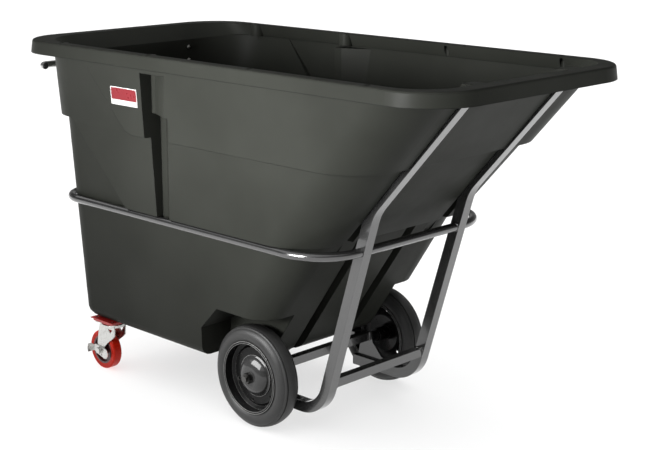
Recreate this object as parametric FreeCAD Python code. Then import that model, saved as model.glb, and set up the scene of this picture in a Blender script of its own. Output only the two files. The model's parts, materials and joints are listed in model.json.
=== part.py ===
"""Tilt truck: a moulded hopper on a tubular frame with two wheels and two locking casters.

Millimetres. +X points to the sloped (dumping) end, +Z up, and Z = 0 is the floor. X = 0 is the
middle of the rim. The near side is -Y.
"""
import FreeCAD, Part
import math
import os

V = FreeCAD.Vector

# ---- hopper ------------------------------------------------------------------------------
RIM_LENGTH = 1726.0
RIM_WIDTH = 850.5
RIM_TOP = 1068.6
RIM_RADIUS = 156.0
SKIRT_HEIGHT = 39.6
SKIRT_FLARE = 5.9
COLLAR_LAP = 12.0
COLLAR_STEP = 3.0
WALL = 6.0
OPENING_BACK = -809.0
OPENING_FRONT = 814.0
OPENING_HALF_WIDTH = 392.0
RIM_HOLE_RADIUS = 8.0
RIM_HOLE_X = (210.3, 630.9)
RIM_HOLE_Y = 403.6
FLOOR = 180.0
SKIRT_BOTTOM = RIM_TOP - SKIRT_HEIGHT
UPPER_LEDGE = 829.0
LOWER_LEDGE = 590.0
BACK_LEDGE = 842.0
SIDE_DRAFT = 0.0577
BOTTOM_ROUND = 30.0

# wheel wells in the lower body
WELL_INNER_Y = 215.0
WELL_TOP = 345.0
WELL_BACK = -100.0

# upright side grooves
GROOVE_BACK = -230.0
GROOVE_FRONT = -120.0
GROOVE_TOP = 1017.0
GROOVE_POCKET = 898.0

# ---- frame -------------------------------------------------------------------------------
LEG_TUBE = 31.75
LEG_Y = 200.0
LEG_WALL = 2.1
CROSS_TUBE = 25.4
RAIL_RADIUS = 12.7
RAIL_WALL = 1.8
RAIL_Z = 577.0
RAIL_HALF_WIDTH = 362.8
RAIL_BACK = -737.0
RAIL_FRONT = 434.0
RAIL_BACK_CORNER = 98.0
RAIL_FRONT_CORNER = 146.0

# ---- main wheels ---------------------------------------------------------------------------
WHEEL_RADIUS = 152.4
WHEEL_X = 80.8
WHEEL_Y = 271.5
TYRE_WIDTH = 70.0
RIM_SEAT_RADIUS = 104.0
AXLE_RADIUS = 9.525
AXLE_TUBE_Z = 161.7
HUB_RADIUS = 21.0

# ---- casters -------------------------------------------------------------------------------
CASTER_X = -590.0
CASTER_Y = 282.0
CASTER_HEIGHT = 177.0
CASTER_RADIUS = 63.5
CASTER_WIDTH = 32.0
CASTER_OFFSET = 44.0
PLATE_LENGTH = 104.8
PLATE_WIDTH = 92.0
PLATE_CORNER = 12.0
PLATE_THICK = 6.0

# ---- push handle ---------------------------------------------------------------------------
HANDLE_RADIUS = 11.0
HANDLE_X = -857.8
HANDLE_Z = 974.0
HANDLE_HALF_WIDTH = 330.0
HANDLE_BEND = 26.0
HANDLE_BRACKET_Y = 205.0


# ---- label and small parts -----------------------------------------------------------------
LABEL_X = (-372.0, -250.0)
LABEL_Z = (914.5, 967.0)
LABEL_THICK = 0.8
LEG_TOP_Z = 1040.0
LEG_BEND_RADIUS = 140.0
LEG_FOOT_RADIUS = 100.0
LEG_FOOT_BOTTOM = 60.0
LEG_FOOT_END = 36.0
LEG_BOLT_Z = 1022.0
LEG_BOLT_RADIUS = 4.0
CROSSBAR_X = 306.5
CROSSBAR_Z = 166.7
GUSSET_THICK = 8.0
AXLE_END = 52.0
HUB_INNER = 34.0
HUB_OUTER = 31.0
HUB_CAP_RADIUS = 62.0
VENT_RING_RADIUS = 78.0
BEARING_RADIUS = 13.0
BASE_RAIL_Y = 170.0
BASE_RAIL_BACK = -655.0
BACK_WALL = -772.0
HANDLE_BOLT_RADIUS = 3.5
CASTER_BOLT_RADIUS = 4.76
CASTER_BOLT_SPACING_X = 79.4
CASTER_BOLT_SPACING_Y = 66.7
KINGPIN_RADIUS = 6.35
RACEWAY_DROP = 9.0
FORK_TOP = CASTER_HEIGHT - PLATE_THICK - RACEWAY_DROP - 0.6
FORK_CROWN = 8.0
FORK_HALF = 20.0
FORK_THICK = 3.5
BRAKE_THICK = 2.6
CASTER_AXLE_RADIUS = 6.35
CASTER_SLEEVE_RADIUS = 9.5
CASTER_CORE_RADIUS = 47.0


# ---- helpers -------------------------------------------------------------------------------
def box(x0, x1, y0, y1, z0, z1):
    return Part.makeBox(x1 - x0, y1 - y0, z1 - z0, V(x0, y0, z0))


def cyl(radius, length, base, axis):
    return Part.makeCylinder(radius, length, base, axis)


def fuse(shapes):
    result = shapes[0]
    if len(shapes) > 1:
        result = result.multiFuse(shapes[1:])
    return result.removeSplitter()


def polygon(points):
    return Part.Face(Part.makePolygon(points + [points[0]]))


def prism_xz(points, y0, y1):
    """A prism between y0 and y1 from (x, z) points."""
    return polygon([V(x, y0, z) for x, z in points]).extrude(V(0, y1 - y0, 0))


def prism_xy(points, z0, z1):
    """A prism between z0 and z1 from (x, y) points."""
    return polygon([V(x, y, z0) for x, y in points]).extrude(V(0, 0, z1 - z0))


def mirror_y(shape):
    return shape.mirror(V(0, 0, 0), V(0, 1, 0))


def rounded_rectangle(back, front, half, r_back, r_front, z):
    """A closed wire: a rectangle with its own corner radius at each end."""
    c = math.sqrt(0.5)
    edges = []
    corners = (
        (front, -half, -1, 1, r_front, -90),
        (front, half, 1, 1, r_front, 0),
        (back, half, 1, -1, r_back, 90),
        (back, -half, -1, -1, r_back, 180),
    )
    ends = []
    for x, y, sy, sx, r, start in corners:
        cx = x - sx * r
        cy = y - sy * r
        a = math.radians(start)
        p0 = V(cx + r * math.cos(a), cy + r * math.sin(a), z)
        m = a + math.pi / 4
        p1 = V(cx + r * math.cos(m), cy + r * math.sin(m), z)
        e = a + math.pi / 2
        p2 = V(cx + r * math.cos(e), cy + r * math.sin(e), z)
        ends.append((p0, p1, p2))
    for i, (p0, p1, p2) in enumerate(ends):
        edges.append(Part.Arc(p0, p1, p2).toShape())
        edges.append(Part.LineSegment(p2, ends[(i + 1) % 4][0]).toShape())
    return Part.Wire(edges)


def shell_loft(levels):
    """A solid through rounded rectangles: (z, back, front, half width, back and front radius)."""
    wires = [rounded_rectangle(b, f, h, rb, rf, z) for z, b, f, h, rb, rf in levels]
    return Part.makeLoft(wires, True, True)


def revolve_y(points, x, y, z, side):
    """Turn (radius, offset along side * Y) points into a solid about the Y line through x, z."""
    face = polygon([V(x + r, y + side * o, z) for r, o in points])
    return face.revolve(V(x, y, z), V(0, 1, 0), 360)


def hexagon(across, length, base, axis):
    """A hexagonal prism, such as a nut or a bolt head."""
    r = across / math.sqrt(3)
    ring = [V(r * math.cos(math.radians(60 * i)), r * math.sin(math.radians(60 * i)), 0) for i in range(6)]
    solid = polygon(ring).extrude(V(0, 0, length))
    solid.Placement = FreeCAD.Placement(base, FreeCAD.Rotation(V(0, 0, 1), axis))
    return solid


# ---- hopper shape: three nested shells, each seen where its zone is ---------------------------
def side_half_width(z):
    return 424.0 - (SKIRT_BOTTOM - z) * SIDE_DRAFT


def upper_front(z):
    return 603.5 + 0.882 * (z - 830.0)


def middle_front(z):
    return 486.0 + 0.885 * (z - 713.0)


def lower_front(z):
    return 348.0 + 0.687 * (z - LOWER_LEDGE)


def lower_half_width(z):
    return 348.0 + (z - RAIL_Z) * SIDE_DRAFT


def upper_shell(inset, top):
    slant = inset * 1.32
    levels = []
    for z, radius in ((780.0, 146.0), (top, 152.0)):
        r = radius - inset
        levels.append((z, BACK_WALL - 3.0 + inset, upper_front(z) - slant, side_half_width(z) - inset, r, r))
    return shell_loft(levels)


def middle_shell(inset, top):
    slant = inset * 1.32
    widths = ((540.0, -1.0), (UPPER_LEDGE, -1.0), (top, 0.0))
    levels = []
    for z, step in widths:
        half = side_half_width(z) + step * 24.0 - (0.0 if step else 1.5)
        r_back = 110.0 if z < 600.0 else (150.0 if z < 900.0 else 186.0)
        front = middle_front(z) - slant
        levels.append((z, BACK_WALL + inset, front, half - inset, r_back - inset, 146.0 - inset))
    return shell_loft(levels)


def lower_shell(inset):
    slant = inset * 1.21
    levels = []
    base = FLOOR + inset
    for turn in (0.0, 22.5, 45.0, 67.5, 90.0):
        a = math.radians(turn)
        r = BOTTOM_ROUND - inset
        z = base + r * (1.0 - math.cos(a))
        tuck = r * (1.0 - math.sin(a))
        back = -699.0 - (z - FLOOR) * SIDE_DRAFT + inset + tuck
        front = lower_front(z) - slant - tuck
        half = lower_half_width(z) - inset - tuck
        levels.append((z, back, front, half, 62.0 - inset, 62.0 - inset))
    top = 900.0
    levels.append((top, -740.0 + inset, lower_front(top) - slant, lower_half_width(top) - inset,
                   100.0 - inset, 165.0 - inset))
    return shell_loft(levels)


def upper_zone(inset):
    """Where the upper shell shows: above its ledge, with a raked edge at the back."""
    points = [(-567.0 + 1.4 * inset, 1100.0), (-322.0 + 1.4 * inset, 840.0 + 0.4 * inset),
              (-292.0 + inset, UPPER_LEDGE + inset), (1000.0, UPPER_LEDGE + inset), (1000.0, 1100.0)]
    return prism_xz(points, -500.0, 500.0)


def middle_zone(inset):
    """Where the middle shell shows: above the rail and above a raked edge at the back."""
    points = [(-1000.0, 1100.0), (-1000.0, BACK_LEDGE + inset), (-621.0 + 0.4 * inset, BACK_LEDGE + inset),
              (-379.0 + 0.4 * inset, LOWER_LEDGE + inset), (1000.0, LOWER_LEDGE + inset), (1000.0, 1100.0)]
    return prism_xz(points, -500.0, 500.0)


def nested_body(inset, top):
    upper = upper_shell(inset, top).common(upper_zone(inset))
    middle = middle_shell(inset, top).common(middle_zone(inset))
    return lower_shell(inset).fuse(middle).fuse(upper)


# ---- recesses cut into the hopper; grown by the wall they shape its inside ---------------------
def side_groove(grow):
    back = GROOVE_BACK - grow
    deep = [(back, -520.0), (back, -352.0 + grow), (-204.0 + grow, -352.0 + grow),
            (GROOVE_FRONT + grow, -414.0 + grow), (GROOVE_FRONT + grow, -520.0)]
    shallow = [(back, -520.0), (back, -382.0 + grow), (-212.0 + grow, -382.0 + grow),
               (GROOVE_FRONT + grow, -424.0 + grow), (GROOVE_FRONT + grow, -520.0)]
    low = prism_xy(deep, LOWER_LEDGE - 8.0 - grow, GROOVE_POCKET + grow)
    high = prism_xy(shallow, GROOVE_POCKET - 1.0, GROOVE_TOP + grow)
    groove = low.fuse(high)
    return [groove, mirror_y(groove)]


def wheel_well(grow):
    points = [(WELL_BACK - grow, 100.0), (WELL_BACK + 6.0 - grow, 271.0 + 0.5 * grow),
              (-19.5 - 0.5 * grow, WELL_TOP + grow), (560.0, WELL_TOP + grow), (560.0, 100.0)]
    well = prism_xz(points, -520.0, -WELL_INNER_Y + grow)
    return [well, mirror_y(well)]


def leg_channel(grow):
    """A slot down the sloped wall that the leg tube lies in."""
    half = LEG_TUBE / 2 + 1.5 + grow
    z0 = 540.0
    z1 = 1100.0
    depth = LEG_TUBE / math.sin(math.radians(48.0)) + 1.0 + grow
    points = [(leg_front(z0) - depth, z0), (leg_front(z1) - depth, z1), (1300.0, z1), (1300.0, z0)]
    slots = []
    for side in (-1, 1):
        slots.append(prism_xz(points, side * LEG_Y - half, side * LEG_Y + half))
    return slots


def front_rib_groove(grow):
    """Two shallow stiffening grooves down the lower sloped wall."""
    half = 20.0 + grow
    z0 = FLOOR - 40.0
    z1 = LOWER_LEDGE - 2.0 + grow
    depth = 26.0 + grow
    points = [(lower_front(z0) - depth, z0), (lower_front(z1) - depth, z1), (900.0, z1), (900.0, z0)]
    return [prism_xz(points, y - half, y + half) for y in (-104.0, 104.0)]


def leg_front(z):
    """X of the leg's outer face on its upper, raked run."""
    return 506.5 + 0.90 * (z - 713.5)


def skirt_shell(inset, top):
    half_length = RIM_LENGTH / 2
    half_width = RIM_WIDTH / 2
    r = RIM_RADIUS
    edge = 5.0
    levels = [
        (SKIRT_BOTTOM, -half_length - SKIRT_FLARE + inset, half_length + SKIRT_FLARE - inset,
         half_width + SKIRT_FLARE - inset, r + SKIRT_FLARE - inset, r + SKIRT_FLARE - inset),
    ]
    steps = ((top, inset, r - inset),)
    if not inset:
        steps = ((top - edge, -0.7, r), (top - 0.3 * edge, 1.0, r), (top, edge, r - edge))
    for z, step_in, radius in steps:
        long_half = half_length - step_in
        levels.append((z, -long_half, long_half, half_width - step_in, radius, radius))
    return shell_loft(levels)


def collar(inset):
    """The wall's flared top: from inside the wall below the skirt up to the opening in the rim."""
    out = WALL - inset
    low = SKIRT_BOTTOM - COLLAR_LAP
    lap = inset + COLLAR_STEP
    front = upper_front(low) - 1.32 * lap
    return shell_loft([
        (low, BACK_WALL + lap, front, side_half_width(low) - lap, 180.0 + out, 143.0 + out),
        (RIM_TOP + (1.0 if inset else 0.0), OPENING_BACK - out, OPENING_FRONT + out,
         OPENING_HALF_WIDTH + out, 186.0 + out, 122.0 + out),
    ])


def rim_pads():
    """Bosses at the inner edge of the rim, round the two rear pairs of holes."""
    pads = []
    for x in RIM_HOLE_X:
        for side in (-1, 1):
            base = V(-x, side * RIM_HOLE_Y, SKIRT_BOTTOM)
            pads.append(cyl(RIM_HOLE_RADIUS + 14.0, RIM_TOP - SKIRT_BOTTOM, base, V(0, 0, 1)))
    return pads


def skirt_ring():
    """The rim's outer edge and skirt; hollow underneath at the two ends."""
    hollow_half = OPENING_HALF_WIDTH + 4.0
    ends = box(-900.0, 900.0, -hollow_half, hollow_half, SKIRT_BOTTOM - 1.0, RIM_TOP - WALL)
    return skirt_shell(0.0, RIM_TOP).cut(skirt_shell(WALL, RIM_TOP - WALL).common(ends))


def recesses(grow):
    return wheel_well(grow) + side_groove(grow) + leg_channel(grow) + front_rib_groove(grow)


def tub():
    keep_top = box(-900.0, 900.0, -500.0, 500.0, RIM_TOP - WALL, RIM_TOP + 1.0)
    outer = nested_body(0.0, SKIRT_BOTTOM).fuse(collar(0.0))
    outer = outer.cut([r.cut(keep_top) for r in recesses(0.0)])
    outer = outer.fuse(skirt_ring())
    cavity = nested_body(WALL, SKIRT_BOTTOM).fuse(collar(WALL))
    cavity = cavity.cut(recesses(WALL) + rim_pads())
    body = outer.cut(cavity)
    holes = []
    for x in RIM_HOLE_X:
        for sx in (-1, 1):
            for sy in (-1, 1):
                base = V(sx * x, sy * RIM_HOLE_Y, RIM_TOP - 50.0)
                holes.append(cyl(RIM_HOLE_RADIUS, 80.0, base, V(0, 0, 1)))
    for side in (-1, 1):
        holes.append(leg_bolt_hole(side, LEG_BOLT_RADIUS + 0.3))
        holes += handle_bolt_holes(side, HANDLE_BOLT_RADIUS + 0.3)
    return body.cut(holes)


def on_side_wall(x, z, proud):
    """A point on the near side wall of the upper shell, standing proud of it."""
    return V(x, -side_half_width(z) - proud, z)


def tub_label():
    x0, x1 = LABEL_X
    z0, z1 = LABEL_Z
    corners = [on_side_wall(x0, z0, 0.05), on_side_wall(x1, z0, 0.05),
               on_side_wall(x1, z1, 0.05), on_side_wall(x0, z1, 0.05)]
    return polygon(corners).extrude(V(0, -LABEL_THICK, 0))


# ---- tubes ---------------------------------------------------------------------------------
def bent_wire(points, radii):
    """Straight runs through the points, with an arc of the given radius at each inner point."""
    edges = []
    start = points[0]
    for i, radius in enumerate(radii):
        a, b, c = points[i], points[i + 1], points[i + 2]
        u = (a - b).normalize()
        w = (c - b).normalize()
        half = u.getAngle(w) / 2
        reach = radius / math.tan(half)
        p0 = b + u * reach
        p2 = b + w * reach
        middle = (u + w).normalize()
        p1 = b + middle * (radius / math.sin(half) - radius)
        edges.append(Part.LineSegment(start, p0).toShape())
        edges.append(Part.Arc(p0, p1, p2).toShape())
        start = p2
    edges.append(Part.LineSegment(start, points[-1]).toShape())
    return Part.Wire(edges)


def round_tube(path, radius, wall):
    """A hollow round tube along a wire."""
    start = path.Edges[0].firstVertex().Point
    direction = path.Edges[0].tangentAt(path.Edges[0].FirstParameter)
    solids = []
    for r in (radius, radius - wall):
        circle = Part.Wire(Part.makeCircle(r, start, direction))
        solids.append(path.makePipeShell([circle], True, True))
    return solids[0].cut(solids[1])


def square_tube(path, size, wall):
    """A hollow square tube along a wire that lies in an XZ plane."""
    start = path.Edges[0].firstVertex().Point
    along = path.Edges[0].tangentAt(path.Edges[0].FirstParameter)
    side = V(0, 1, 0)
    normal = along.cross(side)
    solids = []
    for half in (size / 2, size / 2 - wall):
        turns = ((-1, -1), (1, -1), (1, 1), (-1, 1))
        corners = [start + side * (a * half) + normal * (b * half) for a, b in turns]
        profile = Part.makePolygon(corners + [corners[0]])
        solids.append(path.makePipeShell([profile], True, True))
    return solids[0].cut(solids[1])


def leg_path(side):
    """Centre line of a leg: raked run, steep run, then a J bend back under the axle."""
    y = side * LEG_Y
    rake = 0.90
    lean = 0.305
    set_back = LEG_TUBE / 2 * math.hypot(1.0, rake)
    set_back_low = LEG_TUBE / 2 * math.hypot(1.0, lean)

    def raked(z):
        return leg_front(z) - set_back

    def steep(z):
        return 378.5 + lean * (z - 346.0) - set_back_low

    bend_z = (steep(0.0) - raked(0.0)) / (rake - lean)
    foot_z = LEG_FOOT_BOTTOM + LEG_TUBE / 2
    points = [V(raked(LEG_TOP_Z), y, LEG_TOP_Z), V(raked(bend_z), y, bend_z),
              V(steep(foot_z), y, foot_z), V(LEG_FOOT_END, y, foot_z)]
    return bent_wire(points, [LEG_BEND_RADIUS, LEG_FOOT_RADIUS])


def leg_bolt_frame(side):
    """Centre of the leg-top bolt on the leg's outer face, and the outward direction."""
    out = V(1.0, 0, -0.90).normalize()
    return V(leg_front(LEG_BOLT_Z), side * LEG_Y, LEG_BOLT_Z), out


def leg_bolt_hole(side, radius):
    face, out = leg_bolt_frame(side)
    return cyl(radius, 80.0, face + out * 10.0, out * -1.0)


def leg(side):
    tube = square_tube(leg_path(side), LEG_TUBE, LEG_WALL)
    return tube.cut(leg_bolt_hole(side, LEG_BOLT_RADIUS + 0.3))


def leg_end_plugs():
    size = LEG_TUBE / 2 - LEG_WALL - 0.1
    z = LEG_FOOT_BOTTOM + LEG_TUBE / 2
    plugs = []
    for side in (-1, 1):
        y = side * LEG_Y
        stem = box(LEG_FOOT_END, LEG_FOOT_END + 18.0, y - size, y + size, z - size, z + size)
        cap_half = LEG_TUBE / 2
        cap = box(LEG_FOOT_END - 2.5, LEG_FOOT_END, y - cap_half, y + cap_half, z - cap_half, z + cap_half)
        plugs.append(fuse([stem, cap]))
    return Part.makeCompound(plugs)


def leg_bolts():
    bolts = []
    for side in (-1, 1):
        face, out = leg_bolt_frame(side)
        length = LEG_TUBE + WALL + 9.0
        shank = cyl(LEG_BOLT_RADIUS, length + 6.0, face + out * 6.0, out * -1.0)
        nut = hexagon(13.0, 6.0, face + out * 0.05, out)
        inside = face - out * (LEG_TUBE + WALL + 1.6)
        head = Part.makeCone(10.0, 5.5, 4.5, inside, out * -1.0)
        beyond = cyl(20.0, 40.0, inside - out * 4.5, out * -1.0)
        bolts.append(fuse([shank.cut(beyond), nut, head]))
    return Part.makeCompound(bolts)


def rail_loop():
    """The rear loop of the rail: from one leg, round the back of the hopper, to the other leg."""
    inner = LEG_Y + LEG_TUBE / 2 + 0.02
    outer = RAIL_HALF_WIDTH
    corners = ((RAIL_FRONT, -inner), (RAIL_FRONT, -outer), (RAIL_BACK, -outer),
               (RAIL_BACK, outer), (RAIL_FRONT, outer), (RAIL_FRONT, inner))
    points = [V(x, y, RAIL_Z) for x, y in corners]
    radii = [RAIL_FRONT_CORNER, RAIL_BACK_CORNER, RAIL_BACK_CORNER, RAIL_FRONT_CORNER]
    return round_tube(bent_wire(points, radii), RAIL_RADIUS, RAIL_WALL)


def rail_front_bar():
    inner = LEG_Y - LEG_TUBE / 2 - 0.02
    ends = [V(RAIL_FRONT, y, RAIL_Z) for y in (-inner, inner)]
    return round_tube(bent_wire(ends, []), RAIL_RADIUS, RAIL_WALL)


def square_bar_y(x, z, half, size):
    """A hollow square tube across the frame."""
    a = size / 2
    b = a - LEG_WALL
    hollow = box(x - b, x + b, -half, half, z - b, z + b)
    return box(x - a, x + a, -half, half, z - a, z + a).cut(hollow)


def lower_crossbar():
    half = LEG_Y - LEG_TUBE / 2 - 0.02
    return square_bar_y(CROSSBAR_X, CROSSBAR_Z, half, CROSS_TUBE)


def axle_tube():
    half = LEG_Y - GUSSET_THICK / 2 - 0.02
    return square_bar_y(WHEEL_X, AXLE_TUBE_Z, half, CROSS_TUBE)


def axle_shaft():
    """Two stub axles, each welded into its gusset plate."""
    inner = LEG_Y - GUSSET_THICK / 2
    length = WHEEL_Y + AXLE_END - inner
    stubs = []
    for side in (-1, 1):
        stubs.append(cyl(AXLE_RADIUS, length, V(WHEEL_X, side * inner, WHEEL_RADIUS), V(0, side, 0)))
    return Part.makeCompound(stubs)


def axle_gussets():
    """Upright plates on the legs' feet that carry the axle tube and the stub axles."""
    foot_top = LEG_FOOT_BOTTOM + LEG_TUBE + 0.02
    top = AXLE_TUBE_Z + CROSS_TUBE / 2
    half = GUSSET_THICK / 2
    outline = ((-36.0, foot_top), (112.0, foot_top), (62.0, foot_top + 14.0), (26.0, WHEEL_RADIUS - 8.0),
               (17.0, top), (-17.0, top), (-24.0, WHEEL_RADIUS - 8.0))
    points = [(WHEEL_X + x, z) for x, z in outline]
    plates = []
    for side in (-1, 1):
        y = side * LEG_Y
        bore = cyl(AXLE_RADIUS + 0.02, 4 * half, V(WHEEL_X, y - 2 * half, WHEEL_RADIUS), V(0, 1, 0))
        plates.append(prism_xz(points, y - half, y + half).cut(bore))
    return Part.makeCompound(plates)


def axle_collars():
    """Spacers between the gusset plates and the hubs."""
    start = LEG_Y + GUSSET_THICK / 2 + 0.1
    end = WHEEL_Y - HUB_INNER - 0.4
    bore = AXLE_RADIUS + 0.05
    outline = [(bore, start), (16.0, start), (16.0, end), (bore, end)]
    rings = [revolve_y(outline, WHEEL_X, 0.0, WHEEL_RADIUS, side) for side in (-1, 1)]
    return Part.makeCompound(rings)


def axle_nuts():
    parts = []
    for side in (-1, 1):
        y = WHEEL_Y + HUB_OUTER + 0.4
        bore = AXLE_RADIUS + 0.05
        ring = [(bore, y), (17.0, y), (17.0, y + 2.5), (bore, y + 2.5)]
        washer = revolve_y(ring, WHEEL_X, 0.0, WHEEL_RADIUS, side)
        nut = hexagon(28.0, 11.0, V(WHEEL_X, side * (y + 2.6), WHEEL_RADIUS), V(0, side, 0))
        nut = nut.cut(cyl(AXLE_RADIUS + 0.05, 20.0, V(WHEEL_X, side * y, WHEEL_RADIUS), V(0, side, 0)))
        parts.append(washer)
        parts.append(nut)
    return Part.makeCompound(parts)


def base_rails():
    """Two square tubes under the hopper, from the axle tube back to the casters."""
    a = LEG_TUBE / 2
    b = a - LEG_WALL
    z = FLOOR - 0.1 - a
    rails = []
    for side in (-1, 1):
        y = side * BASE_RAIL_Y
        x1 = WHEEL_X - CROSS_TUBE / 2 - 0.05
        outer = box(BASE_RAIL_BACK, x1, y - a, y + a, z - a, z + a)
        rails.append(outer.cut(box(BASE_RAIL_BACK, x1, y - b, y + b, z - b, z + b)))
    return Part.makeCompound(rails)


def base_cross_tube():
    a = LEG_TUBE / 2
    return square_bar_y(BASE_RAIL_BACK + a + 12.0, FLOOR - 0.1 - a, BASE_RAIL_Y - a - 0.05, LEG_TUBE)


def caster_base_plates():
    """Steel plates on the base rails that the casters are bolted up to."""
    plates = []
    inner = BASE_RAIL_Y + LEG_TUBE / 2 + 0.05
    outer = CASTER_Y + PLATE_WIDTH / 2 + 2.0
    for side in (-1, 1):
        y0, y1 = sorted((side * inner, side * outer))
        half = PLATE_LENGTH / 2 + 4.0
        plate = box(CASTER_X - half, CASTER_X + half, y0, y1, CASTER_HEIGHT + 0.05, FLOOR - 0.1)
        plates.append(plate.cut(caster_bolt_holes(side, CASTER_BOLT_RADIUS + 0.3)))
    return Part.makeCompound(plates)


# ---- main wheels ---------------------------------------------------------------------------
def curved_face(start, steps):
    """A face from (radius, offset) points; a step is an end point, or a middle and an end point."""
    edges = []
    here = V(start[0], start[1], 0)
    for step in steps:
        end = V(step[-1][0], step[-1][1], 0)
        if len(step) == 1:
            edges.append(Part.LineSegment(here, end).toShape())
        else:
            edges.append(Part.Arc(here, V(step[0][0], step[0][1], 0), end).toShape())
        here = end
    return Part.Face(Part.Wire(edges))


def revolve_face_y(face, x, y, z, side):
    """Turn a (radius, offset) face about the Y line through x, z, with offset along side * Y."""
    solid = face.revolve(V(0, 0, 0), V(0, 1, 0), 360)
    if side < 0:
        solid = mirror_y(solid)
    solid.translate(V(x, y, z))
    return solid


def at_wheel(face, side):
    return revolve_face_y(face, WHEEL_X, side * WHEEL_Y, WHEEL_RADIUS, side)


def tyre(side):
    r = WHEEL_RADIUS
    half = TYRE_WIDTH / 2
    seat = RIM_SEAT_RADIUS + 0.05
    steps = [
        [(seat + 6.0, 30.8)],
        [(seat + 23.0, half + 1.2), (r - 9.0, half - 10.0)],
        [(r - 5.0, half - 12.0), (r - 3.4, half - 15.0)],
        [(r - 6.6, half - 15.5)], [(r - 6.6, half - 18.0)], [(r - 2.4, half - 18.5)],
        [(r, 0.0), (r - 2.4, -half + 18.5)],
        [(r - 6.6, -half + 18.0)], [(r - 6.6, -half + 15.5)], [(r - 3.4, -half + 15.0)],
        [(r - 5.0, -half + 12.0), (r - 9.0, -half + 10.0)],
        [(seat + 23.0, -half - 1.2), (seat + 6.0, -30.8)],
        [(seat, -30.8)], [(seat, 30.8)],
    ]
    return at_wheel(curved_face((seat, 30.8), steps), side)


def wheel_disc(side):
    """Pressed steel wheel: flanged barrel, dished web with vent holes and a raised centre."""
    seat = RIM_SEAT_RADIUS
    t = 2.6
    hub = HUB_RADIUS + 0.05
    web = ((seat - 12.0, -2.0), (seat - 20.0, 2.0), (58.0, 2.0), (hub, 12.0))
    outline = [(seat, -31.1), (seat + 5.0, -31.1), (seat + 5.0, -33.6), (seat - t, -33.6), (seat - t, 2.0)]
    outline += web
    outline += [(r, offset + t) for r, offset in reversed(web)]
    outline += [(seat - t, 6.0), (seat - t, 33.6), (seat + 5.0, 33.6), (seat + 5.0, 31.1), (seat, 31.1)]
    disc = revolve_y(outline, WHEEL_X, side * WHEEL_Y, WHEEL_RADIUS, side)
    holes = []
    for i in range(6):
        a = math.radians(60.0 * i + 20.0)
        x = WHEEL_X + VENT_RING_RADIUS * math.cos(a)
        z = WHEEL_RADIUS + VENT_RING_RADIUS * math.sin(a)
        holes.append(cyl(4.5, 30.0, V(x, side * WHEEL_Y - 15.0, z), V(0, 1, 0)))
    return disc.cut(holes)


def wheel_hub(side):
    outline = [(BEARING_RADIUS, -HUB_INNER), (HUB_RADIUS, -HUB_INNER),
               (HUB_RADIUS, 26.0), (BEARING_RADIUS, 26.0)]
    return revolve_y(outline, WHEEL_X, side * WHEEL_Y, WHEEL_RADIUS, side)


def wheel_bearing(side):
    """A roller bearing sleeve pressed into the hub; the axle runs in it."""
    outline = [(AXLE_RADIUS + 0.06, -HUB_INNER + 0.5), (BEARING_RADIUS, -HUB_INNER + 0.5),
               (BEARING_RADIUS, 26.5), (AXLE_RADIUS + 0.06, 26.5)]
    return revolve_y(outline, WHEEL_X, side * WHEEL_Y, WHEEL_RADIUS, side)


def hub_cap(side):
    """A domed cover over the hub, open at the centre for the axle nut."""
    t = 1.6
    edge = HUB_CAP_RADIUS
    seat = 4.9
    steps = [[(edge, seat + t)], [(edge - 4.0, 10.0)],
             [(46.0, 24.0), (20.0, HUB_OUTER)], [(13.0, HUB_OUTER)],
             [(13.0, HUB_OUTER - t)], [(19.6, HUB_OUTER - t)], [(45.0, 22.6), (edge - 5.4, 9.3)],
             [(edge - 1.5, seat)], [(edge, seat)]]
    return at_wheel(curved_face((edge, seat), steps), side)


# ---- handle ----------------------------------------------------------------------------------
def handle_bar():
    x = HANDLE_X
    y = HANDLE_HALF_WIDTH
    ends = x + HANDLE_BEND
    points = [V(ends, -y, HANDLE_Z), V(x, -y, HANDLE_Z), V(x, y, HANDLE_Z), V(ends, y, HANDLE_Z)]
    return round_tube(bent_wire(points, [HANDLE_BEND - 2.0] * 2), HANDLE_RADIUS, 2.0)


def handle_plugs():
    plugs = []
    for side in (-1, 1):
        base = V(HANDLE_X + HANDLE_BEND, side * HANDLE_HALF_WIDTH, HANDLE_Z)
        stem = cyl(HANDLE_RADIUS - 2.4, 5.0, base + V(1.0, 0, 0), V(-1, 0, 0))
        cap = Part.makeCone(HANDLE_RADIUS, HANDLE_RADIUS - 1.5, 3.0, base + V(0.02, 0, 0), V(1, 0, 0))
        plugs.append(fuse([stem, cap]))
    return Part.makeCompound(plugs)


def handle_brackets():
    """Arms from the back wall that carry the bar, each a foot plate, an arm and a saddle."""
    brackets = []
    for side in (-1, 1):
        y = side * HANDLE_BRACKET_Y
        foot = box(BACK_WALL - 4.2, BACK_WALL - 0.2, y - 17.0, y + 17.0, HANDLE_Z - 32.0, HANDLE_Z + 32.0)
        arm = box(HANDLE_X + 8.0, BACK_WALL - 4.2, y - 12.0, y + 12.0, HANDLE_Z - 3.0, HANDLE_Z + 3.0)
        rib = prism_xz([(BACK_WALL - 4.2, HANDLE_Z - 12.5), (HANDLE_X + 14.0, HANDLE_Z - 3.0),
                        (BACK_WALL - 4.2, HANDLE_Z - 3.0)], y - 2.5, y + 2.5)
        saddle = box(HANDLE_X + 2.0, HANDLE_X + 16.0, y - 12.0, y + 12.0, HANDLE_Z - 13.0, HANDLE_Z + 13.0)
        bore = cyl(HANDLE_RADIUS + 0.05, 24.0, V(HANDLE_X, y - 12.0, HANDLE_Z), V(0, 1, 0))
        body = fuse([foot, arm, rib, saddle]).cut(bore)
        brackets.append(body.cut(handle_bolt_holes(side, HANDLE_BOLT_RADIUS + 0.3)))
    return Part.makeCompound(brackets)


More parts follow.
